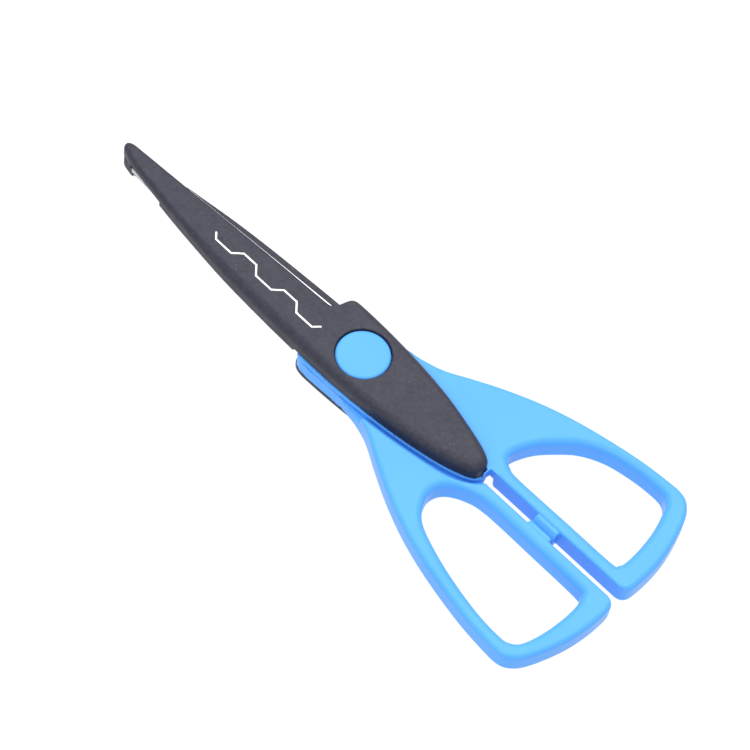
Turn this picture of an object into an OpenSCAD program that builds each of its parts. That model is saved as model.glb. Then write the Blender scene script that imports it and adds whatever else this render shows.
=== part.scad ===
// Decorative edge scissors: two moulded handles, two covered jaws and a pair of wave-faced
// blades that turn on one pivot. Both halves are built about the parting plane between the
// blades, and place() lifts them onto the plane that the closed scissors lie on.

/* [Jaws] */
// Height of each cover's flat crown above the parting plane
crown_z = 6.2; // [6:0.1:7]
// Height of the crown at the nose
nose_z = 4.1; // [3.8:0.1:5]
// Edge rounding of the covers at the pivot
cover_round = 2; // [1:0.1:2.2]
// Edge rounding along the handle side of the rear cover
rear_heel_round = 1.1; // [0.8:0.1:2]
// Edge rounding along the cutting side of the covers
rim_round = 0.8; // [0.4:0.1:1]
// Thickness of the skirt that wraps the spine of each jaw
skirt_wall = 1.2; // [1:0.1:1.4]

/* [Handles] */
// Thickness of the finger rings
ring_t = 6.6; // [6:0.1:7]
// Gap between the two straight inner bars
bar_gap = 3.5; // [3:0.1:4]
// Length of the two closing stops in that gap
stop_l = 7.4; // [5:0.2:9]
// Play left between the stops when the scissors are shut
stop_play = 0.2; // [0.1:0.05:0.4]

/* [Blades] */
// Thickness from the parting plane to the flat back of a blade
blade_t = 1.7; // [1.5:0.05:1.8]
// Height of the cut pattern, crest to trough
wave_h = 2.2; // [1.6:0.1:2.2]
// Length of one full wave
wave_l = 14; // [13:0.5:14]
// Half of the running gap between the blade faces
face_play = 0.04; // [0.03:0.01:0.08]

/* [Pivot] */
// Radius of the pivot screw
pin_r = 2.5; // [2:0.1:2.6]
// Running clearance round the pivot screw
pin_play = 0.05; // [0.03:0.01:0.08]
// Radius of the round pivot caps
cap_r = 6.75; // [6:0.05:7]
// Ring gap between a cap and its cover
cap_gap = 0.15; // [0.1:0.05:0.4]

/* [Hidden] */

handle_blue = [0.42, 0.75, 0.98];
cover_black = [0.30, 0.30, 0.33];
steel = [0.80, 0.81, 0.83];
zinc = [0.70, 0.70, 0.68];
white_ink = [0.95, 0.95, 0.95];

smooth = 4;                  // samples on each span of a curve
round_steps = 3;             // facets in each rounded edge
ring_half = ring_t / 2;
bar_y = bar_gap / 2;
floor_z = 0.15;              // each shank stops this far from the parting plane
shank_z = 4.2;               // outer face of the shank, under the cover
front_skirt_z = 0.3;
rear_skirt_z = 0.6;          // lower, so that the front blade passes over it
flange_z = 1.2;              // top of the flange that the skirt of the cover stands on
heel_skirt_z = 1.3;
skirt_end = 65;              // the skirt stops here and leaves the tip of the jaw open
blade_end = 77.5;
taper_x = 12;                // the crown is flat behind this and falls towards the nose
jaw_end = 82.2;
wave_start = 17.5;
wave_count = 4;
crest_flat = wave_l * 0.38;
trough_flat = wave_l * 0.31;
wave_ramp = (wave_l - crest_flat - trough_flat) / 2;
mark_x = 11.95;              // the printed line starts here
mark_y = 2.9;
mark_w = 0.45;
mark_t = 0.06;
mark_waves = 2.5;
head_r = 4.6;
head_t = 1.1;
well_r = 5.1;                // round well in the shank for the screw head and the nut
well_z = 3.0;
cap_under = 5.1;             // underside of the disc of a cap

// Half width of the leaf on its spine side, front and rear, at stations along the jaw
front_spine = [
    [-40.5, 0.5], [-40.1, 1.6], [-39.1, 2.6], [-36.6, 3.8], [-32, 5.3], [-25, 6.8],
    [-15, 8.25], [-5, 9], [5, 9.3], [16, 9.1], [28, 8.7], [40, 8], [50, 6.95], [60, 5.7],
    [65, 4.95], [70, 4.1], [77.5, 2.75], [80, 1.9], [81.4, 1.3], [82, 0.8], [jaw_end, 0.4],
];
rear_spine = [
    [-40.5, 0.5], [-40.1, 1.6], [-39.1, 2.6], [-36.6, 3.8], [-32, 5.3], [-25, 6.8],
    [-15, 8.25], [-5, 9], [5, 9.2], [16, 8.8], [28, 8.1], [40, 7.3], [50, 6.35],
    [60, 5.05], [65, 4.4], [70, 3.6], [77.5, 2.4], [80, 1.8], [81.4, 1.3], [82, 0.8],
    [jaw_end, 0.4],
];

// The other side of the leaf: handle side, shoulder, notch and cutting rim
front_rim = [
    [-40.5, -0.5], [-40.1, -1.3], [-39.2, -2.3], [-36.5, -3.6], [-31, -5.2], [-21.5, -7.4],
    [-11.5, -8.8], [-1.5, -9.6], [8, -9.9], [10.6, -9.7], [12.1, -9.1], [12.9, -8.1],
    [13.4, -6.8], [14.1, -5.3], [15, -4.2], [16.5, -3.75], [20, -3.6], [30, -3.3],
    [50, -2.5], [66, -1.8], [77, -1.35], [80.3, -1.2], [81.6, -0.8], [jaw_end, -0.3],
];
rear_rim = [
    [-40.5, -0.5], [-40.1, -1.3], [-39.2, -2.3], [-36.5, -3.6], [-31, -5.2], [-21.5, -7.4],
    [-11.5, -8.8], [-1.5, -9.8], [8, -10.1], [10.6, -9.9], [12.5, -9.3], [13.5, -8.3],
    [14, -6.8], [14.4, -5.4], [15.2, -4.3], [16.6, -3.8], [20, -3.6], [30, -3.3],
    [50, -2.55], [66, -1.85], [76.8, -1.5], [78, -1.9], [81, -1.35], [jaw_end, -0.3],
];

// Outline of a handle on its own side of the gap, from the shoulder round the ring to the crotch
handle_outer = [
    [-6, -10.3], [-9.5, -10.9], [-14.5, -12.8], [-21.5, -16.7], [-29.5, -20.8],
    [-39, -24.7], [-49.4, -27.7], [-62, -30.2], [-71, -31.15], [-75.5, -31.2],
    [-78.1, -30.2], [-80.5, -27.4], [-82.6, -22.3], [-84.2, -16.6], [-85, -11],
    [-85.1, -6], [-84.8, -3.4], [-83.9, -2.2], [-82.4, -bar_y],
];

// Edge of the raised part of a handle, which leaves room for the leaf of the other half
handle_step = [
    [-42.6, -bar_y], [-41.4, -3.2], [-39.3, -4.9], [-36, -6.5], [-31, -7.8], [-21, -9.5],
    [-13.5, -10.4], [-11.4, -10.7], [-10.6, -11.2],
];

// Shoulder of a half, from the notch back to the start of the handle
shoulder = [
    [13.8, -6.8], [13.2, -8.1], [12.3, -9.1], [10.6, -9.7], [8, -9.9], [-1.5, -9.6],
];

// Edge of the flange round the spine side of a shank, on which the skirt of the cover stands
flange = [
    [13.9, 8.4], [13.4, 9.4], [12.2, 9.8], [5, 9.85], [-5, 9.4], [-15, 8.6], [-25, 7.15],
    [-32, 5.65], [-36.7, 4.15], [-39.3, 2.85], [-40.5, 1.6], [-41.1, 0.2], [-41.2, -bar_y],
];

// Finger holes: the rear one is rounder at the pivot end, the front one has a slanted side
rear_hole = [
    [-47, -5.1], [-62, -5.1], [-76.6, -5.3], [-78.5, -6.1], [-79.1, -8], [-79.2, -13],
    [-78.6, -19.5], [-77.2, -24.8], [-75.3, -26.9], [-72.5, -27.5], [-65.1, -27],
    [-55.2, -25.1], [-46.3, -22.5], [-39.9, -19.7], [-36.8, -16.1], [-35.7, -12.6],
    [-37.1, -9.1], [-41.2, -6.4],
];
front_hole = [
    [-47, -5.3], [-62, -5.4], [-76.6, -5.5], [-78.4, -6.2], [-79, -8], [-78.8, -13],
    [-77.8, -19], [-76.1, -24.1], [-74.8, -26.4], [-72, -27.75], [-65, -27.5],
    [-57.1, -25.9], [-51.1, -22.9], [-46.9, -18.8], [-43.6, -14.5], [-41.6, -9.7],
    [-41.8, -7.2], [-43.7, -6],
];

// ---- Curves ----

function blend(a, b, c, d, t) =
    0.5 * (2 * b + (c - a) * t + (2 * a - 5 * b + 4 * c - d) * t * t
        + (3 * b - a - 3 * c + d) * t * t * t);

function pick(p, i) = p[max(0, min(len(p) - 1, i))];

// Smooth open curve through the points of p
function curve(p) = [
    for (i = [0:len(p) - 2], k = [0:smooth - 1])
        blend(pick(p, i - 1), p[i], p[i + 1], pick(p, i + 2), k / smooth),
    p[len(p) - 1],
];

// Smooth closed curve through the points of p
function loop_curve(p) = let (n = len(p)) [
    for (i = [0:n - 1], k = [0:smooth - 1])
        blend(p[(i + n - 1) % n], p[i], p[(i + 1) % n], p[(i + 2) % n], k / smooth),
];

function reversed(p) = [for (i = [len(p) - 1:-1:0]) p[i]];

// Outward normal at each point of a closed outline that runs anticlockwise
function normals(p) = let (n = len(p)) [
    for (i = [0:n - 1])
        let (d = p[(i + 1) % n] - p[(i + n - 1) % n])
        [d.y, -d.x] / max(norm(d), 0.001),
];

// Value at x along stations [x, value], with a smooth curve between them
function along(table, x) = let (
    last = len(table) - 1,
    i = max([for (k = [0:last - 1]) if (table[k][0] <= x || k == 0) k]),
    a = table[i],
    b = table[i + 1],
    slope_a = i == 0 ? (b[1] - a[1]) / (b[0] - a[0])
        : (b[1] - table[i - 1][1]) / (b[0] - table[i - 1][0]),
    slope_b = i == last - 1 ? (b[1] - a[1]) / (b[0] - a[0])
        : (table[i + 2][1] - a[1]) / (table[i + 2][0] - a[0]),
    w = b[0] - a[0],
    t = max(0, min(1, (x - a[0]) / w))
) (2 * t ^ 3 - 3 * t ^ 2 + 1) * a[1] + (t ^ 3 - 2 * t ^ 2 + t) * w * slope_a
    + (3 * t ^ 2 - 2 * t ^ 3) * b[1] + (t ^ 3 - t ^ 2) * w * slope_b;

function ease(x, x0, x1, a, b) = a + (b - a) * max(0, min(1, (x - x0) / (x1 - x0)));

function crown(x) = ease(x, taper_x, jaw_end, crown_z, nose_z);

// ---- Shared solids ----

module place() {
    translate([0, 0, crown_z]) children();
}

// The rear half is the front half turned over about the length of the scissors
module turned_over() {
    rotate([180, 0, 0]) children();
}

function leaf_rim(rim) = curve(rim);

function leaf_spine(rim, spine) = [for (p = leaf_rim(rim)) [p.x, along(spine, p.x)]];

// Anticlockwise outline of a leaf: along the rim to the nose and back along the spine
function leaf_outline(rim, spine) = concat(leaf_rim(rim), reversed(leaf_spine(rim, spine)));

function edge_radius(p, heel_round) = p.y > 0
    ? ease(p.x, 20, 78, cover_round, rim_round)
    : ease(p.x, 9, 13, heel_round, rim_round);

// Solid leaf with a crown that falls towards the nose and a rounded upper edge
module leaf(rim, spine, low, heel_round) {
    outline = leaf_outline(rim, spine);
    out = normals(outline);
    n = len(outline);
    half = n / 2;
    rings = concat(
        [[for (p = outline) [p.x, p.y, low]]],
        [
            for (k = [0:round_steps])
                let (a = 90 * k / round_steps)
                [
                    for (i = [0:n - 1])
                        let (
                            r = edge_radius(outline[i], heel_round),
                            q = outline[i] - r * (1 - cos(a)) * out[i]
                        )
                        [q.x, q.y, crown(q.x) - r * (1 - sin(a))],
                ],
        ]
    );
    last = len(rings) - 1;
    sides = [
        for (k = [0:last - 1], i = [0:n - 1])
            let (j = (i + 1) % n)
            each [
                [k * n + i, (k + 1) * n + j, k * n + j],
                [k * n + i, (k + 1) * n + i, (k + 1) * n + j],
            ],
    ];
    caps = [
        for (i = [0:half - 2])
            let (a = i, b = i + 1, c = n - 2 - i, d = n - 1 - i, t = last * n)
            each [[a, b, c], [a, c, d], [t + a, t + c, t + b], [t + a, t + d, t + c]],
    ];
    polyhedron([for (r = rings) each r], concat(sides, caps), convexity = 6);
}

// Everything on the rim side of the skirt, out past the edge of the cover
module inside_skirt(rim, spine, x0, x1) {
    inner = [for (p = leaf_spine(rim, spine)) if (p.x >= x0 && p.x <= x1) [p.x, max(p.y - skirt_wall, -1)]];
    polygon(concat([[x0, -16], [x1, -16]], [[x1, inner[len(inner) - 1].y]], reversed(inner),
        [[x0, inner[0].y]]));
}

// Trapezoid wave: [distance, height] along count waves from start
function wave(start, count, height) = [
    for (k = [0:count - 1])
        let (s = start + k * wave_l, h = height / 2)
        each [
            [s, k == 0 ? 0 : -h], [s + wave_ramp / 2 + (k == 0 ? 0 : wave_ramp / 2), h],
            [s + wave_ramp / 2 + crest_flat, h],
            [s + wave_ramp * 1.5 + crest_flat, -h],
        ],
];

// ---- Pieces of one half, in the front position ----

// Outline of a handle: shoulder, flange of the shank, then round the ring
module handle_outline() {
    polygon(concat(reversed(shoulder), [[13.9, -5.9]], curve(flange), reversed(curve(handle_outer))));
}

// Above the flange the skirt of the cover wraps the shank
module skirt_room() {
    polygon([
        [20, 7.2], [5, 7.5], [-5, 7.1], [-15, 6.4], [-25, 5.1], [-32, 3.7], [-36.5, 2.2],
        [-38.6, 0.6], [-38.8, -1.15], [-40.6, -1.15], [-40.75, -0.3], [-40.6, 0.4], [-46, 1.4],
        [-46, 13], [20, 13],
    ]);
}

// The leaf of the other half passes here
module leaf_room() {
    polygon(concat(curve(handle_step), [[-10, -14], [20, -14], [20, 12], [-42.6, 12]]));
}

// Outside the pad on the shank that carries the cover
module round_pad() {
    polygon([
        [-90, 5], [-38, 5], [-38, -1.9], [-36.4, -3.2], [-31, -4.9], [-21.5, -7.1], [-11.5, -8.5],
        [-6, -9.2], [-2, -10.4], [-2, -40], [-90, -40],
    ]);
}

// Outline of the blade: tang round the pivot, straight cutting edge, spine inside the skirt
module blade_outline() {
    cut = function(x) -(6.93 - 0.0601 * x);
    polygon([
        [-6.6, -3.5], [-4, -6.2], [0, -7], [9, -6.6], [15, cut(15)], [blade_end, cut(blade_end)],
        [blade_end, 0.2], [70, 2], [66, 3], [50, 4.05], [30, 5.15], [15, 6], [12, 6.6], [0, 6.6], [-4, 6.2], [-6.6, 3.5],
    ]);
}

module tang_outline() {
    polygon([
        [-6.7, -3.5], [-4, -6.3], [0, -7.1], [9, -6.7], [16, -6.7], [16, 6.7], [0, 6.7],
        [-4, 6.3], [-6.7, 3.5],
    ]);
}

rivet_places = [[10.6, 3], [10.6, -3.2]];

module handle(points, bore) {
    difference() {
        translate([0, 0, -ring_half]) linear_extrude(ring_half + shank_z) handle_outline();
        translate([0, 0, ring_half]) linear_extrude(9) round_pad();
        translate([0, 0, flange_z]) linear_extrude(9) skirt_room();
        translate([0, 0, floor_z - 9]) linear_extrude(9) leaf_room();
        translate([0, 0, -9]) linear_extrude(18) polygon(loop_curve(points));
        translate([0, 0, well_z]) cylinder(h = 9, r = well_r, $fn = 96);
        translate([0, 0, -1]) cylinder(h = 9, r = bore, $fn = 96);
        translate([0, 0, floor_z - 1]) linear_extrude(blade_t - floor_z + 1) tang_outline();
        for (p = rivet_places) translate([p.x, p.y, 0]) cylinder(h = 3.7, r = 1, $fn = 32);
    }
    closing_stop();
}

// Small block in the gap that meets its twin on the other handle
module closing_stop() {
    translate([-60.8 - stop_l / 2, -bar_y - 0.5, -2]) cube([stop_l, bar_y + 0.5 - stop_play / 2, 4]);
}

module cover(rim, spine, low, heel_round) {
    difference() {
        leaf(rim, spine, low, heel_round);
        translate([0, 0, -1]) linear_extrude(1 + shank_z) inside_skirt(rim, spine, -60, 14);
        translate([-60, -16, -1]) cube([74, 32, 1 + heel_skirt_z]);
        translate([0, 0, -1]) linear_extrude(1 + blade_t) inside_skirt(rim, spine, 13.5, skirt_end);
        translate([skirt_end, -12, -1]) cube([blade_end + 0.1 - skirt_end, 24, 1 + blade_t]);
        translate([0, 0, -1]) cylinder(h = 12, r = cap_r + cap_gap, $fn = 96);
    }
}

// Cap: a disc with a rounded edge and a locating ring that stands on the shank
module cap() {
    edge = 0.35;
    rotate_extrude($fn = 128)
        polygon(concat(
            [[0, cap_under], [5.45, cap_under], [5.45, shank_z], [6.3, shank_z], [6.3, cap_under], [cap_r, cap_under]],
            [for (a = [0:15:90]) [cap_r - edge * (1 - cos(a)), crown_z - edge * (1 - sin(a))]],
            [[0, crown_z]]
        ));
}

module rivet() {
    translate([0, 0, 0.3]) cylinder(h = 3.4, r = 1, $fn = 48);
    translate([0, 0, face_play]) cylinder(h = 0.5, r = 1.7, $fn = 48);
}

module rivet_seats() {
    for (p = rivet_places) {
        translate([p.x, p.y, -3]) cylinder(h = 3.5 + face_play, r = 1.7, $fn = 48);
        translate([p.x, p.y, -3]) cylinder(h = 9, r = 1, $fn = 48);
    }
}

// ---- Sub-parts ----

module rear_handle() {
    color(handle_blue) place() turned_over() handle(rear_hole, pin_r);
}

module front_handle() {
    color(handle_blue) place() handle(front_hole, pin_r + 0.9);
}

module rear_cover() {
    color(cover_black) place() turned_over() cover(rear_rim, rear_spine, rear_skirt_z, rear_heel_round);
}

module front_cover() {
    color(cover_black) place() cover(front_rim, front_spine, front_skirt_z, cover_round);
}

// The mating faces are surfaces of revolution about the pivot, so they mesh at every angle
module front_blade() {
    face = [for (p = wave(wave_start, wave_count, wave_h)) [p.x, p.y + face_play]];
    wave_end = wave_start + wave_count * wave_l;
    color(steel) place() difference() {
        intersection() {
            translate([0, 0, -3]) linear_extrude(3 + blade_t) blade_outline();
            rotate_extrude($fn = 180)
                polygon(concat([[0, face_play]], face,
                    [[wave_end - wave_ramp / 2, -wave_h / 2 + face_play], [wave_end, face_play],
                     [100, face_play], [100, blade_t], [0, blade_t]]));
        }
        translate([0, 0, -3]) cylinder(h = 9, r = pin_r + 0.7, $fn = 96);
        rivet_seats();
    }
}

module rear_blade() {
    face = [for (p = wave(wave_start, wave_count, wave_h)) [p.x, p.y - face_play]];
    wave_end = wave_start + wave_count * wave_l;
    color(steel) place() difference() {
        intersection() {
            turned_over() translate([0, 0, -3]) linear_extrude(3 + blade_t) blade_outline();
            rotate_extrude($fn = 180)
                polygon(concat([[0, -blade_t], [100, -blade_t], [100, -face_play],
                    [wave_end, -face_play], [wave_end - wave_ramp / 2, -wave_h / 2 - face_play]],
                    reversed(face), [[0, -face_play]]));
        }
        turned_over() translate([0, 0, -3]) cylinder(h = 9, r = pin_r, $fn = 96);
        turned_over() rivet_seats();
    }
}

module front_blade_rivets() {
    color(zinc) place() for (p = rivet_places) translate([p.x, p.y, 0]) rivet();
}

module rear_blade_rivets() {
    color(zinc) place() turned_over() for (p = rivet_places) translate([p.x, p.y, 0]) rivet();
}

module front_cap() {
    color(handle_blue) place() cap();
}

module rear_cap() {
    color(handle_blue) place() turned_over() cap();
}

// Sample of the cut, printed on the crown of the front cover as a thin line
module pattern_mark() {
    fall = atan((crown_z - nose_z) / (jaw_end - taper_x));
    h = wave_h / 2;
    line = concat(
        [[mark_x, -h * 0.6]],
        [
            for (k = [0:mark_waves - 0.5])
                let (s = mark_x + wave_ramp * 0.7 + k * wave_l)
                each concat(
                    [[s, h], [s + crest_flat, h]],
                    k < mark_waves - 0.5
                        ? [[s + crest_flat + wave_ramp, -h],
                           [s + crest_flat + wave_ramp + trough_flat, -h]]
                        : [[s + crest_flat + wave_ramp * 0.7, -h * 0.4]]
                ),
        ]
    );
    last = len(line) - 1;
    side = [
        for (i = [0:last])
            let (
                a = line[min(i + 1, last)] - line[min(i, last - 1)],
                b = line[max(i, 1)] - line[max(i - 1, 0)],
                u = a / norm(a) + b / norm(b),
                v = [-u.y, u.x] / norm(u)
            )
            v * mark_w / 2 / (v * [-a.y, a.x] / norm(a)),
    ];
    color(white_ink) place() translate([taper_x, mark_y, crown_z]) rotate([0, fall, -0.72])
        linear_extrude(mark_t) translate([-taper_x, 0]) polygon(concat(
            [for (i = [0:last]) line[i] + side[i]],
            [for (i = [last:-1:0]) line[i] - side[i]]
        ));
}

// Screw: head in the rear well, shank through both halves, cross slot in the head
module pivot_screw() {
    foot = -(cap_under - 0.1);
    color(zinc) place() difference() {
        union() {
            translate([0, 0, foot]) cylinder(h = head_t, r = head_r, $fn = 96);
            translate([0, 0, foot]) cylinder(h = 2 * (cap_under - 0.1), r = pin_r, $fn = 96);
        }
        for (a = [0, 90]) rotate(a) translate([-2.8, -0.45, foot - 1]) cube([5.6, 0.9, 1.6]);
    }
}

module pivot_sleeve() {
    color(zinc) place() translate([0, 0, blade_t]) difference() {
        cylinder(h = well_z - blade_t, r = pin_r + 0.9, $fn = 96);
        translate([0, 0, -1]) cylinder(h = 9, r = pin_r + pin_play, $fn = 96);
    }
}

module ring(low, high, outer) {
    place() translate([0, 0, low]) difference() {
        cylinder(h = high - low, r = outer, $fn = 96);
        translate([0, 0, -1]) cylinder(h = high - low + 2, r = pin_r, $fn = 96);
    }
}

module rear_washer() {
    color(zinc) ring(-(cap_under - 0.1 - head_t), -well_z, 4.4);
}

module front_washer() {
    color(zinc) ring(well_z + 0.05, well_z + 0.4, 4.6);
}

// Split spring washer under the nut
module spring_washer() {
    color(zinc) difference() {
        ring(well_z + 0.4, well_z + 0.95, 4);
        rotate(35) translate([pin_r - 0.4, -0.25, 0]) cube([3, 0.5, 20]);
    }
}

module pivot_nut() {
    color(zinc) place() translate([0, 0, well_z + 0.95]) difference() {
        cylinder(h = cap_under - 0.1 - well_z - 0.95, r = head_r, $fn = 6);
        translate([0, 0, -1]) cylinder(h = 9, r = pin_r, $fn = 96);
    }
}

rear_handle();
rear_cover();
rear_blade();
rear_blade_rivets();
rear_cap();
front_handle();
front_cover();
front_blade();
front_blade_rivets();
front_cap();
pattern_mark();
pivot_screw();
pivot_sleeve();
pivot_nut();
rear_washer();
front_washer();
spring_washer();
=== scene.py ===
"""Looks for the decorative edge scissors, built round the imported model.

The moulded parts (two handles, two covers, two caps) are made here from rounded solids given by
signed distances, in millimetres, and stand for their CAD nodes. The blades, rivets, screw,
sleeve, nut, washers and printed line keep their CAD meshes and get their materials here.

Half coordinates: the pivot is the origin, z = 0 is the plane between the blades, +X runs to the
nose and the front half is on +Z. The rear half is the front half turned over about X.
"""

import math

import bpy
import numpy as np
from mathutils import Matrix, Vector


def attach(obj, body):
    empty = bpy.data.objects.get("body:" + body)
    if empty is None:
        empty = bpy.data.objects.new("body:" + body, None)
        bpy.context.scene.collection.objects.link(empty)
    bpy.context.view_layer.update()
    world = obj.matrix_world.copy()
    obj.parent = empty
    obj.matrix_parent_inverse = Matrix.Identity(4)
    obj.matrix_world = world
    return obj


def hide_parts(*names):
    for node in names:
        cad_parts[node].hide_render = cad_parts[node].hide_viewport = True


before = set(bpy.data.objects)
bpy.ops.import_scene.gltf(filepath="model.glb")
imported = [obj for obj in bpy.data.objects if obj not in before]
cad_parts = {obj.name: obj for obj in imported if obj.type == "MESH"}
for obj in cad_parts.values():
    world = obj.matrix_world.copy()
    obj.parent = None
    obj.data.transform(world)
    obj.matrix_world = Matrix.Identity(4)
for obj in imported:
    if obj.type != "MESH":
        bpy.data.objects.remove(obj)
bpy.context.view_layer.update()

MM = 0.001
CROWN = 6.2          # flat crown of a cover, above the plane between the blades
NOSE = 4.1           # the crown's height at the nose
TAPER_X = 12.0       # the crown falls from here to the nose
JAW_END = 82.2
RING = 3.3           # half the thickness of a finger ring
FLOOR = 0.15         # lower face of a shank
SHANK = 4.2          # upper face of a shank, under the cover
FLANGE_TOP = 1.2     # flange round the shank, under the skirt of the cover
BAR = 1.75           # half the gap between the two straight bars
BLADE = 1.7          # flat back of a blade
SKIRT = 1.2          # wall of the skirt round the leaf of a cover
JAW_SKIRT = 1.6      # and round the spine of its jaw
HEEL_X = 14.0        # the leaf ends and the jaw begins here
HEEL_SKIRT_Z = 1.3   # lower edge of the leaf's skirt, on the flange
SKIRT_END = 65.0     # the skirt stops here and leaves the tip of the jaw open
LIP = 0.6            # the leaf's lip hangs this far over the side of the pad
LIP_GAP = 0.15
COVER_GAP = 0.1      # between the top of a ring and the cover over it
CAP = 6.75           # radius of a pivot cap
CAP_GAP = 0.15
CAP_UNDER = 5.1      # underside of the disc of a cap
WELL = 5.1           # radius of the well for the screw head or the nut
WELL_FLOOR = 3.0
SCREW_BORE = 2.5     # the screw in the rear shank
SLEEVE_BORE = 3.4    # the sleeve in the front shank
STOP_X = -60.1       # middle of the closing stops
STOP_HALF = 3.5      # half their length
STOP_LOW = -2.0      # their lower face, from the middle of the ring
CREASE = 0.1         # rounding of hidden edges
ROLL = 5.2           # the crown rolls off over this width beside the spine
HANDLE_GRID = 0.32
COVER_GRID = 0.28

TURN = {"rear": np.array([1, -1, -1]), "front": np.array([1, 1, 1])}

# ---- Outlines ----

SPINE = {
    "front": [
        (-40.5, 0.5), (-40.1, 1.6), (-39.1, 2.6), (-36.6, 3.8), (-32, 5.3), (-25, 6.8),
        (-15, 8.25), (-5, 9), (5, 9.3), (16, 9.1), (28, 8.7), (40, 8), (50, 6.95),
        (60, 5.7), (65, 4.95), (70, 4.1), (77.5, 2.75), (80, 1.9), (81.4, 1.3), (82, 0.8),
        (JAW_END, 0.4),
    ],
    "rear": [
        (-40.5, 0.5), (-40.1, 1.6), (-39.1, 2.6), (-36.6, 3.8), (-32, 5.3), (-25, 6.8),
        (-15, 8.25), (-5, 9), (5, 9.2), (16, 8.8), (28, 8.1), (40, 7.3), (50, 6.35),
        (60, 5.05), (65, 4.4), (70, 3.6), (77.5, 2.4), (80, 1.8), (81.4, 1.3), (82, 0.8),
        (JAW_END, 0.4),
    ],
}
RIM = {
    "front": [
        (-40.5, -0.5), (-40.1, -1.3), (-39.2, -2.3), (-36.5, -3.6), (-31, -5.2), (-21.5, -7.4),
        (-11.5, -8.8), (-1.5, -9.6), (8, -9.9), (10.6, -9.7), (12.1, -9.1), (12.9, -8.1),
        (13.35, -6.8), (13.8, -5.3), (14.4, -4.2), (15.4, -3.78), (17, -3.68), (20, -3.58),
        (30, -3.28), (50, -2.5),
        (66, -1.8), (77, -1.35), (80.3, -1.2), (81.6, -0.8), (JAW_END, -0.3),
    ],
    "rear": [
        (-40.5, -0.5), (-40.1, -1.3), (-39.2, -2.3), (-36.5, -3.6), (-31, -5.2), (-21.5, -7.4),
        (-11.5, -8.8), (-1.5, -9.65), (8, -9.95), (10.6, -9.75), (12.3, -9.15), (13.3, -8.2),
        (13.85, -6.8), (14.4, -5.4), (15.2, -4.3), (16.6, -3.8), (20, -3.6), (30, -3.3), (50, -2.55),
        (66, -1.85), (76.2, -1.5), (77.3, -2.05), (78.2, -2.05), (81, -1.45), (JAW_END, -0.3),
    ],
}
HANDLE_OUTER = [
    (-6, -10.3), (-9.5, -10.9), (-14.5, -12.8), (-21.5, -16.7), (-29.5, -20.8),
    (-39, -24.7), (-49.4, -27.7), (-62, -30.2), (-71, -31.15), (-75.5, -31.2),
    (-78.1, -30.2), (-80.5, -27.4), (-82.6, -22.3), (-84.2, -16.6), (-85, -11),
    (-85.1, -6), (-84.8, -3.4), (-83.9, -2.2), (-82.4, -BAR),
]
HANDLE_STEP = [
    (-42.6, -BAR), (-41.4, -3.2), (-39.3, -4.9), (-36, -6.5), (-31, -7.8), (-21, -9.5),
    (-13.5, -10.4), (-11.4, -10.7), (-10.6, -11.2),
]
SHOULDER = [
    (-1.5, -9.6), (8, -9.9), (10.6, -9.7), (12.3, -9.1), (13.2, -8.1), (13.8, -6.8),
]
FLANGE = [
    (12.9, 8.3), (12.5, 9.1), (11.3, 9.65), (5, 9.85), (-5, 9.4), (-15, 8.6), (-25, 7.15),
    (-32, 5.65), (-36.7, 4.15), (-39.3, 2.85), (-40.5, 1.6), (-41.1, 0.2), (-41.2, -BAR),
]
SKIRT_ROOM = [
    (20, 7.2), (5, 7.5), (-5, 7.1), (-15, 6.4), (-25, 5.1), (-32, 3.7), (-36.5, 2.2),
    (-38.6, 0.6), (-38.8, -1.15), (-40.6, -1.15), (-40.75, -0.3), (-40.6, 0.4), (-46, 1.4),
    (-46, 13), (20, 13),
]
PAD = [
    (-38, 5), (-38, -1.9), (-36.4, -3.2), (-31, -4.9), (-21.5, -7.1), (-11.5, -8.5),
    (-6, -9.2), (-2, -10.4), (20, -12), (20, 12), (-38, 12),
]
HOLE = {
    "rear": [
        (-47, -5.1), (-62, -5.1), (-76.2, -5.3), (-78, -6.2), (-78.9, -8.1), (-79.2, -13),
        (-78.6, -19.5), (-77.2, -24.8), (-75.3, -26.9), (-72.5, -27.5), (-65.1, -27),
        (-55.2, -25.1), (-46.3, -22.5), (-39.9, -19.7), (-36.8, -16.1), (-35.7, -12.6),
        (-37.1, -9.1), (-41.2, -6.4),
    ],
    "front": [
        (-47, -5.3), (-62, -5.4), (-76.6, -5.5), (-78.4, -6.2), (-79, -8), (-78.8, -13),
        (-77.8, -19), (-76.1, -24.1), (-74.8, -26.4), (-72, -27.75), (-65, -27.5),
        (-57.1, -25.9), (-51.1, -22.9), (-46.9, -18.8), (-43.6, -14.5), (-41.6, -9.7),
        (-41.8, -7.2), (-43.7, -6),
    ],
}
TANG = [
    (-6.7, -3.5), (-4, -6.3), (0, -7.1), (9, -6.7), (16, -6.7), (16, 6.7), (0, 6.7), (-4, 6.3),
    (-6.7, 3.5),
]


def blend(a, b, c, d, t):
    return 0.5 * (2 * b + (c - a) * t + (2 * a - 5 * b + 4 * c - d) * t * t
                  + (3 * b - a - 3 * c + d) * t ** 3)


def curve(points, samples=8):
    """Smooth open curve through the points."""
    p = np.array(points, float)
    last = len(p) - 1
    out = []
    for i in range(last):
        before, after = p[max(i - 1, 0)], p[min(i + 2, last)]
        for k in range(samples):
            out.append(blend(before, p[i], p[i + 1], after, k / samples))
    return np.array(out + [p[last]])


def loop(points, samples=8):
    """Smooth closed curve through the points."""
    p = np.array(points, float)
    n = len(p)
    return np.array([
        blend(p[i - 1], p[i], p[(i + 1) % n], p[(i + 2) % n], k / samples)
        for i in range(n) for k in range(samples)
    ])


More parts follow.
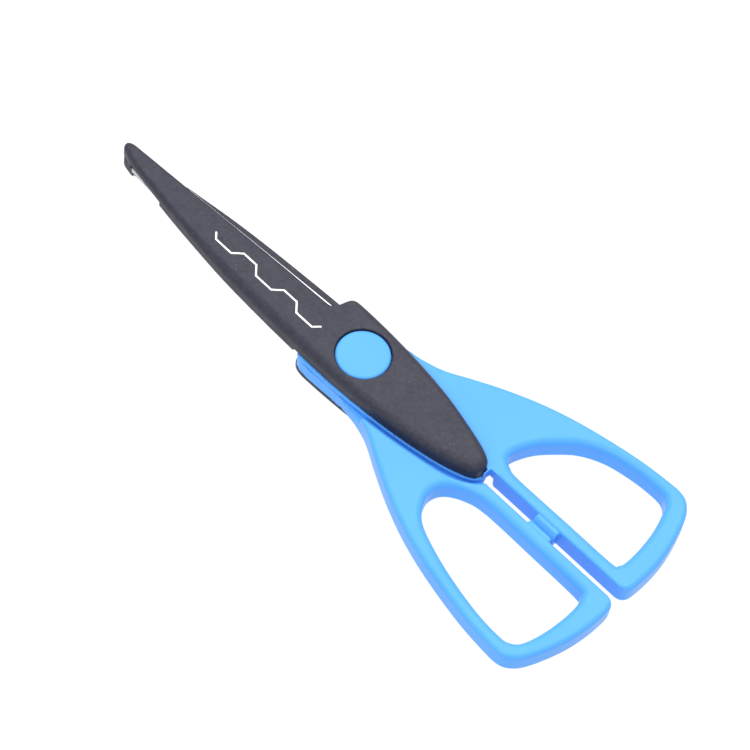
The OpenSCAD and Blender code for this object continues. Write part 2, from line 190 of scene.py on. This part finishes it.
def along(table, x):
    """Value at x on a smooth curve through stations (x, value)."""
    t = np.array(table, float)
    slope = np.gradient(t[:, 1], t[:, 0])
    i = np.clip(np.searchsorted(t[:, 0], x) - 1, 0, len(t) - 2)
    w = t[i + 1, 0] - t[i, 0]
    u = np.clip((x - t[i, 0]) / w, 0, 1)
    return ((2 * u ** 3 - 3 * u ** 2 + 1) * t[i, 1] + (u ** 3 - 2 * u ** 2 + u) * w * slope[i]
            + (3 * u ** 2 - 2 * u ** 3) * t[i + 1, 1] + (u ** 3 - u ** 2) * w * slope[i + 1])


def ramp(x, x0, x1, a, b):
    t = np.clip((x - x0) / (x1 - x0), 0, 1)
    return a + (b - a) * t * t * (3 - 2 * t)


def leaf_outline(side):
    rim = curve(RIM[side])
    spine = np.column_stack([rim[:, 0], along(SPINE[side], rim[:, 0])])
    return np.concatenate([rim, spine[::-1]])


def handle_outline():
    return np.concatenate([curve(HANDLE_OUTER)[::-1], SHOULDER, [(13.9, -5.9)], curve(FLANGE)])


# ---- Signed distances, negative inside ----

def distance(outline, x, y):
    best = np.full(x.shape, 1e9)
    inside = np.zeros(x.shape, bool)
    points = np.asarray(outline, float)
    for p, q in zip(points, np.roll(points, -1, axis=0)):
        d = q - p
        if d @ d < 1e-12:
            continue
        t = np.clip(((x - p[0]) * d[0] + (y - p[1]) * d[1]) / (d @ d), 0, 1)
        best = np.minimum(best, (x - p[0] - t * d[0]) ** 2 + (y - p[1] - t * d[1]) ** 2)
        if p[1] != q[1]:
            level = (p[1] > y) != (q[1] > y)
            inside ^= level & (x < p[0] + (y - p[1]) * d[0] / d[1])
    return np.where(inside, -1, 1) * np.sqrt(best)


def taps(f):
    """Weights of the four neighbours in a smooth cubic lookup."""
    return (
        -0.5 * f + f ** 2 - 0.5 * f ** 3,
        1 - 2.5 * f ** 2 + 1.5 * f ** 3,
        0.5 * f + 2 * f ** 2 - 1.5 * f ** 3,
        -0.5 * f ** 2 + 0.5 * f ** 3,
    )


class Plan:
    """Signed distance to an outline seen from above, kept on a fine grid and looked up."""

    def __init__(self, outline, low, high, step=0.2):
        self.low = np.array(low, float) - 3 * step
        self.step = step
        size = np.ceil((np.array(high) - self.low) / step).astype(int) + 4
        x = self.low[0] + step * np.arange(size[0])
        y = self.low[1] + step * np.arange(size[1])
        self.values = distance(outline, *np.meshgrid(x, y, indexing="ij"))

    def __call__(self, x, y):
        u = (x - self.low[0]) / self.step
        v = (y - self.low[1]) / self.step
        i = np.clip(np.floor(u).astype(int), 1, self.values.shape[0] - 3)
        j = np.clip(np.floor(v).astype(int), 1, self.values.shape[1] - 3)
        wu, wv = taps(np.clip(u - i, 0, 1)), taps(np.clip(v - j, 0, 1))
        total = 0
        for a in range(4):
            for b in range(4):
                total = total + wu[a] * wv[b] * self.values[i + a - 1, j + b - 1]
        return total


def both(a, b, r=0.0):
    """Inside a and inside b, with the edge between them rounded to radius r."""
    if np.isscalar(r) and r == 0:
        return np.maximum(a, b)
    return np.minimum(np.maximum(a, b), -r) + np.hypot(np.maximum(a + r, 0), np.maximum(b + r, 0))


def either(a, b, r=0.0):
    """Inside a or inside b, with the corner between them filled to radius r."""
    return -both(-a, -b, r)


def crown(x):
    return CROWN - (CROWN - NOSE) * np.maximum(x - TAPER_X, 0) / (JAW_END - TAPER_X)


# ---- Surfaces ----

def surface(field, low, high, step):
    """Points and faces of the surface where the field is zero, one point per grid cell."""
    axes = [np.arange(low[k], high[k] + step, step) for k in range(3)]
    value = field(*np.meshgrid(*axes, indexing="ij"))
    cells = np.array(value.shape) - 1
    total = np.zeros((*cells, 3))
    count = np.zeros(tuple(cells), int)

    def corner(offset):
        return value[tuple(slice(o, o + n) for o, n in zip(offset, cells))]

    for axis in range(3):
        for u in (0, 1):
            for v in (0, 1):
                start = np.zeros(3, int)
                start[(axis + 1) % 3], start[(axis + 2) % 3] = u, v
                end = start.copy()
                end[axis] = 1
                a, b = corner(start), corner(end)
                cut = (a < 0) != (b < 0)
                t = np.where(cut, a / np.where(a == b, 1, a - b), 0)
                place = np.broadcast_to(start.astype(float), total.shape).copy()
                place[..., axis] += t
                total += place * cut[..., None]
                count += cut
    active = count > 0
    index = np.full(tuple(cells), -1)
    index[active] = np.arange(active.sum())
    points = (np.argwhere(active) + total[active] / count[active][:, None]) * step + np.array(low)
    faces = []
    for axis in range(3):
        u, v = (axis + 1) % 3, (axis + 2) % 3
        size = list(value.shape)
        size[axis] -= 1
        here = [slice(None)] * 3
        here[axis] = slice(0, -1)
        there = list(here)
        there[axis] = slice(1, None)
        a, b = value[tuple(here)] < 0, value[tuple(there)] < 0
        spots = np.argwhere(a != b)
        spots = spots[(spots[:, u] > 0) & (spots[:, v] > 0)]
        spots = spots[(spots[:, u] < cells[u]) & (spots[:, v] < cells[v])]
        flip = b[tuple(spots.T)]
        ring = []
        for du, dv in ((-1, -1), (0, -1), (0, 0), (-1, 0)):
            cell = spots.copy()
            cell[:, u] += du
            cell[:, v] += dv
            ring.append(index[tuple(cell.T)])
        quad = np.column_stack(ring)
        quad[flip] = quad[flip][:, ::-1]
        faces.append(quad)
    return points, np.concatenate(faces)


def slope(field, p, e):
    """Gradient of the field at points p, over a distance e to each side."""
    return np.column_stack([
        (field(*(p + e * np.eye(3)[k]).T) - field(*(p - e * np.eye(3)[k]).T)) / (2 * e)
        for k in range(3)
    ])


def settle(field, p, step):
    """Moves points onto the surface and returns them with smooth normals."""
    for _ in range(3):
        g = slope(field, p, 0.02)
        move = field(*p.T)[:, None] * g / np.maximum((g * g).sum(1), 0.2)[:, None]
        length = np.linalg.norm(move, axis=1)[:, None]
        p = p - move * np.minimum(1, 0.5 * step / np.maximum(length, 1e-9))
    g = slope(field, p, 0.06)
    return p, g / np.maximum(np.linalg.norm(g, axis=1), 1e-9)[:, None]


def to_row(p, side):
    """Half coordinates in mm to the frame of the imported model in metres."""
    return (p * TURN[side] + np.array([0, 0, CROWN])) * MM


def mesh_object(name, points, faces, normals=None, material=None):
    mesh = bpy.data.meshes.new(name)
    mesh.from_pydata(points.tolist(), [], faces)
    mesh.polygons.foreach_set("use_smooth", [True] * len(mesh.polygons))
    if normals is not None:
        mesh.normals_split_custom_set_from_vertices(normals.tolist())
    mesh.update()
    piece = bpy.data.objects.new(name, mesh)
    bpy.context.collection.objects.link(piece)
    if material:
        mesh.materials.append(material)
    return piece


def moulding(name, field, low, high, step, side, material):
    points, faces = surface(field, low, high, step)
    points, normals = settle(field, points, step)
    return mesh_object(name, to_row(points, side), faces.tolist(), normals * TURN[side], material)


# ---- The moulded shapes ----

def handle_field(side):
    low, high = (-88, -34), (18, 10)
    outline = Plan(handle_outline(), low, high)
    hole = Plan(loop(HOLE[side]), low, high)
    step_edge = curve(HANDLE_STEP)
    ring_side = [(-9, -40), (-95, -40), (-95, 12), (-44, 12)]
    ring = Plan(np.concatenate([step_edge, ring_side]), low, high)
    pad = Plan(PAD, low, high)
    tang = Plan(TANG, low, high)
    room = Plan(SKIRT_ROOM, low, high)
    bore = SCREW_BORE if side == "rear" else SLEEVE_BORE

    def field(x, y, z):
        wall = outline(x, y)
        outer = ramp(x, -17, -8, 1.3, 0.12)
        gap_side = ramp(y, -4.5, -2.5, 0, 1) * ramp(x, -84.5, -82.5, 0, 1)
        outer = outer + (ramp(x, -44, -42.5, 0.8, 0.12) - outer) * gap_side
        raised = both(ring(x, y), -RING - z, 1.1)
        under = either(FLOOR - z, raised, 0.25)
        over = either(z - RING, both(pad(x, y) + LIP, z - SHANK, 0.15), 0.2)
        f = both(wall, np.maximum(over, under), outer)
        up = z * TURN[side][2]      # height above the middle of the ring, as the scissors lie
        f = both(f, -hole(x, y), ramp(up, -1.2, -0.2, 0.8, 2.0))
        f = both(f, -both(room(x, y), FLANGE_TOP - z), 0.25)
        pin = np.hypot(x, y)
        f = both(f, -both(pin - WELL, WELL_FLOOR - z, CREASE), CREASE)
        f = both(f, bore - pin, CREASE)
        f = both(f, -both(tang(x, y), z - BLADE, CREASE), CREASE)
        slant = 2.8 - np.maximum(y + 1, 0)
        stop_face, stop_top = (0.6, slant) if side == "front" else (-0.8, 3.1)
        stop_side = np.abs(x - STOP_X) - STOP_HALF
        stop = both(stop_side, np.maximum(STOP_LOW - up, up - stop_top), 0.5)
        stop = both(stop, np.maximum(-3.2 - y, y - stop_face), 0.3)
        return either(f, stop, 0.2)

    return field


def cover_field(side):
    low, high = (-44, -13), (85, 12)
    outline = Plan(leaf_outline(side), low, high)
    pad = Plan(PAD, low, high)
    # lower edge of the jaw's skirt, end of the open tip, rounding of the leaf's rim
    bottom, tip_end, heel_round = (0.3, 77.6, 2.0) if side == "front" else (0.6, 76.9, 1.3)

    def field(x, y, z):
        spine = along(SPINE[side], x)
        spine_side = np.clip((y + 3) / 6, 0, 1)
        r_spine = ramp(x, 20, 78, 2.2, 1.2)
        r_rim = ramp(x, 9, 13, heel_round, 0.8)
        r = r_rim + (r_spine - r_rim) * spine_side
        roll = np.maximum(y - (spine - ROLL), 0)
        top = crown(x) - ramp(x, 48, 60, 0.022, 0.006) * roll ** 2
        f = both(outline(x, y), (z - top) * 0.998, r)
        f = both(f, np.where(x < HEEL_X, HEEL_SKIRT_Z, bottom) - z, 0.15)
        skirt = ramp(x, HEEL_X, HEEL_X + 4, SKIRT, JAW_SKIRT)
        inner = y - np.maximum(spine - skirt, -1)
        seat = either(z - RING - COVER_GAP, both(pad(x, y) + LIP - LIP_GAP, z - SHANK))
        heel = both(both(inner, seat), x - HEEL_X)
        jaw = both(both(inner, z - BLADE, CREASE), x - SKIRT_END)
        tip = both(z - BLADE, np.maximum(SKIRT_END - x, x - tip_end), CREASE)
        f = both(f, -heel)
        f = both(f, -jaw)
        f = both(f, -tip)
        return both(f, CAP + CAP_GAP - np.hypot(x, y), 0.12)

    return field


def lathe(profile, segments):
    """Points and faces of a profile (radius, height) turned about the pivot axis, with lids."""
    p = np.array(profile, float)
    n = len(p)
    turn = np.arange(segments) * 2 * math.pi / segments
    points = np.array([(r * math.cos(a), r * math.sin(a), z) for a in turn for r, z in p])
    faces = []
    for s in range(segments):
        t = (s + 1) % segments
        for i in range(n - 1):
            faces.append((s * n + i + 1, t * n + i + 1, t * n + i, s * n + i))
    faces.append([s * n for s in range(segments)])
    faces.append([s * n + n - 1 for s in reversed(range(segments))])
    return points, faces


def cap_profile():
    """Domed disc with a rounded edge, and the ring under it that stands on the shank."""
    edge = 0.75
    dome = [(r, CROWN - 0.3 * (r / CAP) ** 2) for r in np.linspace(0.02, CAP - edge, 14)]
    top = dome[-1][1]
    rim = [
        (CAP - edge * (1 - math.sin(a)), top - edge * (1 - math.cos(a)))
        for a in np.radians(np.arange(15, 91, 15))
    ]
    foot = [
        (CAP, CAP_UNDER), (6.3, CAP_UNDER), (6.3, SHANK), (5.45, SHANK), (5.45, CAP_UNDER),
        (0.02, CAP_UNDER),
    ]
    return dome + rim + foot


# ---- Materials ----

def material(name):
    m = bpy.data.materials.new(name)
    m.use_nodes = True
    nodes = m.node_tree.nodes
    return m, nodes, m.node_tree.links, nodes["Principled BSDF"]


def noise(nodes, links, scale, detail=3.0, stretch=(1, 1, 1), distortion=0.0):
    """Noise over the object, in units of 1/m, stretched along the axes."""
    where = nodes.new("ShaderNodeTexCoord")
    spread = nodes.new("ShaderNodeMapping")
    spread.inputs["Scale"].default_value = stretch
    texture = nodes.new("ShaderNodeTexNoise")
    texture.inputs["Scale"].default_value = scale
    texture.inputs["Detail"].default_value = detail
    texture.inputs["Distortion"].default_value = distortion
    links.new(where.outputs["Object"], spread.inputs["Vector"])
    links.new(spread.outputs["Vector"], texture.inputs["Vector"])
    return texture.outputs["Fac"]


def remap(nodes, links, value, low, high, to_low, to_high):
    n = nodes.new("ShaderNodeMapRange")
    numbers = {"From Min": low, "From Max": high, "To Min": to_low, "To Max": to_high}
    for key, number in numbers.items():
        n.inputs[key].default_value = number
    links.new(value, n.inputs["Value"])
    return n.outputs["Result"]


def tint(nodes, links, value, dark, light):
    n = nodes.new("ShaderNodeMix")
    n.data_type = "RGBA"
    n.inputs["A"].default_value = (*dark, 1)
    n.inputs["B"].default_value = (*light, 1)
    links.new(value, n.inputs["Factor"])
    return n.outputs["Result"]


def bump(nodes, links, shader, height, distance, strength):
    n = nodes.new("ShaderNodeBump")
    n.inputs["Distance"].default_value = distance
    n.inputs["Strength"].default_value = strength
    links.new(height, n.inputs["Height"])
    links.new(n.outputs["Normal"], shader.inputs["Normal"])


def blue_plastic():
    m, nodes, links, shader = material("blue_plastic")
    cloud = remap(nodes, links, noise(nodes, links, 45, 2), 0.35, 0.65, 0, 1)
    links.new(tint(nodes, links, cloud, (0.082, 0.350, 0.88), (0.090, 0.366, 0.90)),
              shader.inputs["Base Color"])
    grain = noise(nodes, links, 2600, 2)
    links.new(remap(nodes, links, noise(nodes, links, 160, 4), 0.3, 0.7, 0.27, 0.34),
              shader.inputs["Roughness"])
    bump(nodes, links, shader, grain, 0.00002, 0.25)
    shader.inputs["IOR"].default_value = 1.35
    shader.inputs["Specular IOR Level"].default_value = 0.35
    return m


def product(nodes, links, a, b):
    n = nodes.new("ShaderNodeMath")
    n.operation = "MULTIPLY"
    links.new(a, n.inputs[0])
    links.new(b, n.inputs[1])
    return n.outputs["Value"]


def black_plastic():
    m, nodes, links, shader = material("black_plastic")
    mottle = remap(nodes, links, noise(nodes, links, 900, 4), 0.35, 0.65, 0, 1)
    plain = tint(nodes, links, mottle, (0.026, 0.027, 0.042), (0.036, 0.037, 0.054))
    specks = remap(nodes, links, noise(nodes, links, 1700, 2, distortion=0.5), 0.66, 0.73, 0, 1)
    patchy = remap(nodes, links, noise(nodes, links, 90, 3), 0.48, 0.64, 0.05, 0.55)
    dusty = nodes.new("ShaderNodeMix")
    dusty.data_type = "RGBA"
    dusty.inputs["B"].default_value = (0.17, 0.165, 0.19, 1)
    links.new(product(nodes, links, specks, patchy), dusty.inputs["Factor"])
    links.new(plain, dusty.inputs["A"])
    links.new(dusty.outputs["Result"], shader.inputs["Base Color"])
    links.new(remap(nodes, links, noise(nodes, links, 300, 3), 0.3, 0.7, 0.40, 0.52),
              shader.inputs["Roughness"])
    bump(nodes, links, shader, noise(nodes, links, 3200, 3), 0.00003, 0.5)
    shader.inputs["Specular IOR Level"].default_value = 0.24
    return m


def steel(name, base, scale, stretch):
    m, nodes, links, shader = material(name)
    grind = noise(nodes, links, scale, 4, stretch)
    dark = tuple(0.86 * c for c in base)
    links.new(tint(nodes, links, grind, dark, base), shader.inputs["Base Color"])
    links.new(remap(nodes, links, grind, 0.3, 0.7, 0.22, 0.38), shader.inputs["Roughness"])
    bump(nodes, links, shader, grind, 0.00001, 0.3)
    shader.inputs["Metallic"].default_value = 1
    return m


def white_ink():
    m, nodes, links, shader = material("white_ink")
    worn = noise(nodes, links, 1800, 3)
    links.new(tint(nodes, links, remap(nodes, links, worn, 0.3, 0.6, 0, 1), (0.80, 0.80, 0.80),
                   (0.93, 0.93, 0.93)), shader.inputs["Base Color"])
    links.new(remap(nodes, links, worn, 0.3, 0.7, 0.4, 0.55), shader.inputs["Roughness"])
    return m


def floor_material():
    m, nodes, links, shader = material("studio_floor")
    paper = noise(nodes, links, 30, 3)
    links.new(tint(nodes, links, paper, (0.09, 0.09, 0.092), (0.10, 0.10, 0.102)),
              shader.inputs["Base Color"])
    shader.inputs["Roughness"].default_value = 0.9
    shader.inputs["Emission Color"].default_value = (1, 1, 1, 1)
    shader.inputs["Emission Strength"].default_value = 0.95
    return m


blue = blue_plastic()
black = black_plastic()
blade_steel = steel("blade_steel", (0.54, 0.55, 0.57), 900, (0.08, 1, 1))
zinc = steel("zinc_plate", (0.70, 0.70, 0.67), 700, (1, 1, 1))
ink = white_ink()

# ---- Pieces ----

for side in ("rear", "front"):
    body = side + "_half"
    handle = moulding(
        side + "_handle_moulding", handle_field(side), (-86, -33, -3.8), (15.5, 11, 5), HANDLE_GRID,
        side, blue,
    )
    cover = moulding(
        side + "_cover_moulding", cover_field(side), (-42, -11, -0.5), (83.5, 10.5, 7), COVER_GRID,
        side, black,
    )
    points, faces = lathe(cap_profile(), 160)
    cap = mesh_object(side + "_cap_moulding", to_row(points, side), faces, None, blue)
    for piece, cad_node, slot in (
        (handle, side + "_handle", "blue_plastic"),
        (cover, side + "_cover", "black_plastic"),
        (cap, side + "_cap", "blue_plastic"),
    ):
        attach(piece, body)
        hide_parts(cad_node)

finishes = {
    "rear_blade": blade_steel, "front_blade": blade_steel, "pattern_mark": ink,
    "rear_blade_rivets": zinc, "front_blade_rivets": zinc, "pivot_screw": zinc,
    "pivot_sleeve": zinc, "pivot_nut": zinc, "rear_washer": zinc, "front_washer": zinc,
    "spring_washer": zinc,
}
for name, finish in finishes.items():
    cad_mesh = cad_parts[name].data
    cad_mesh.materials.clear()
    cad_mesh.materials.append(finish)

# ---- Floor, light and camera ----

floor = mesh_object(
    "studio_floor", np.array([(-3, -3, 0), (3, -3, 0), (3, 3, 0), (-3, 3, 0)]),
    [(0, 1, 2, 3)], None, floor_material(),
)

scene = bpy.context.scene
scene.view_settings.view_transform = "Standard"
world = bpy.data.worlds.new("studio")
scene.world = world
world.use_nodes = True
world.node_tree.nodes["Background"].inputs["Color"].default_value = (1.0, 1.0, 1.0, 1)
world.node_tree.nodes["Background"].inputs["Strength"].default_value = 0.80


def softbox(name, place, aim, width, height, power):
    light = bpy.data.lights.new(name, "AREA")
    light.shape = "RECTANGLE"
    light.size, light.size_y = width, height
    light.energy = power
    lamp = bpy.data.objects.new(name, light)
    lamp.location = place
    lamp.rotation_mode = "QUATERNION"
    lamp.rotation_quaternion = (Vector(aim) - Vector(place)).to_track_quat("-Z", "Y")
    bpy.context.collection.objects.link(lamp)


softbox("top_light", (0.25, -0.35, 1.1), (0, 0, 0), 1.2, 1.2, 12.5)
softbox("edge_light", (-0.1, 0.62, 0.9), (0, 0, 0), 0.4, 0.4, 3)

camera_data = bpy.data.cameras.new("camera")
camera_data.lens = 168
camera_data.clip_start = 0.05
camera = bpy.data.objects.new("camera", camera_data)
bpy.context.collection.objects.link(camera)
scene.camera = camera

turn = math.radians(125.6)       # the camera stands this far round from +X
lift = math.radians(59.0)        # and this far above the floor
roll = math.radians(11.0)        # turned this much about its line of sight
away = 0.8333                    # and this far from the point that it looks at
aim = Vector((-3.57, -1.26, CROWN - 0.64)) * MM
back = Vector((math.cos(turn) * math.cos(lift), math.sin(turn) * math.cos(lift), math.sin(lift)))
level = Vector((0, 0, 1)).cross(back).normalized()
upright = back.cross(level)
right = math.cos(roll) * level + math.sin(roll) * upright
up = back.cross(right)
facing = Matrix((right, up, back)).transposed().to_4x4()
camera.matrix_world = Matrix.Translation(aim + back * away) @ facing
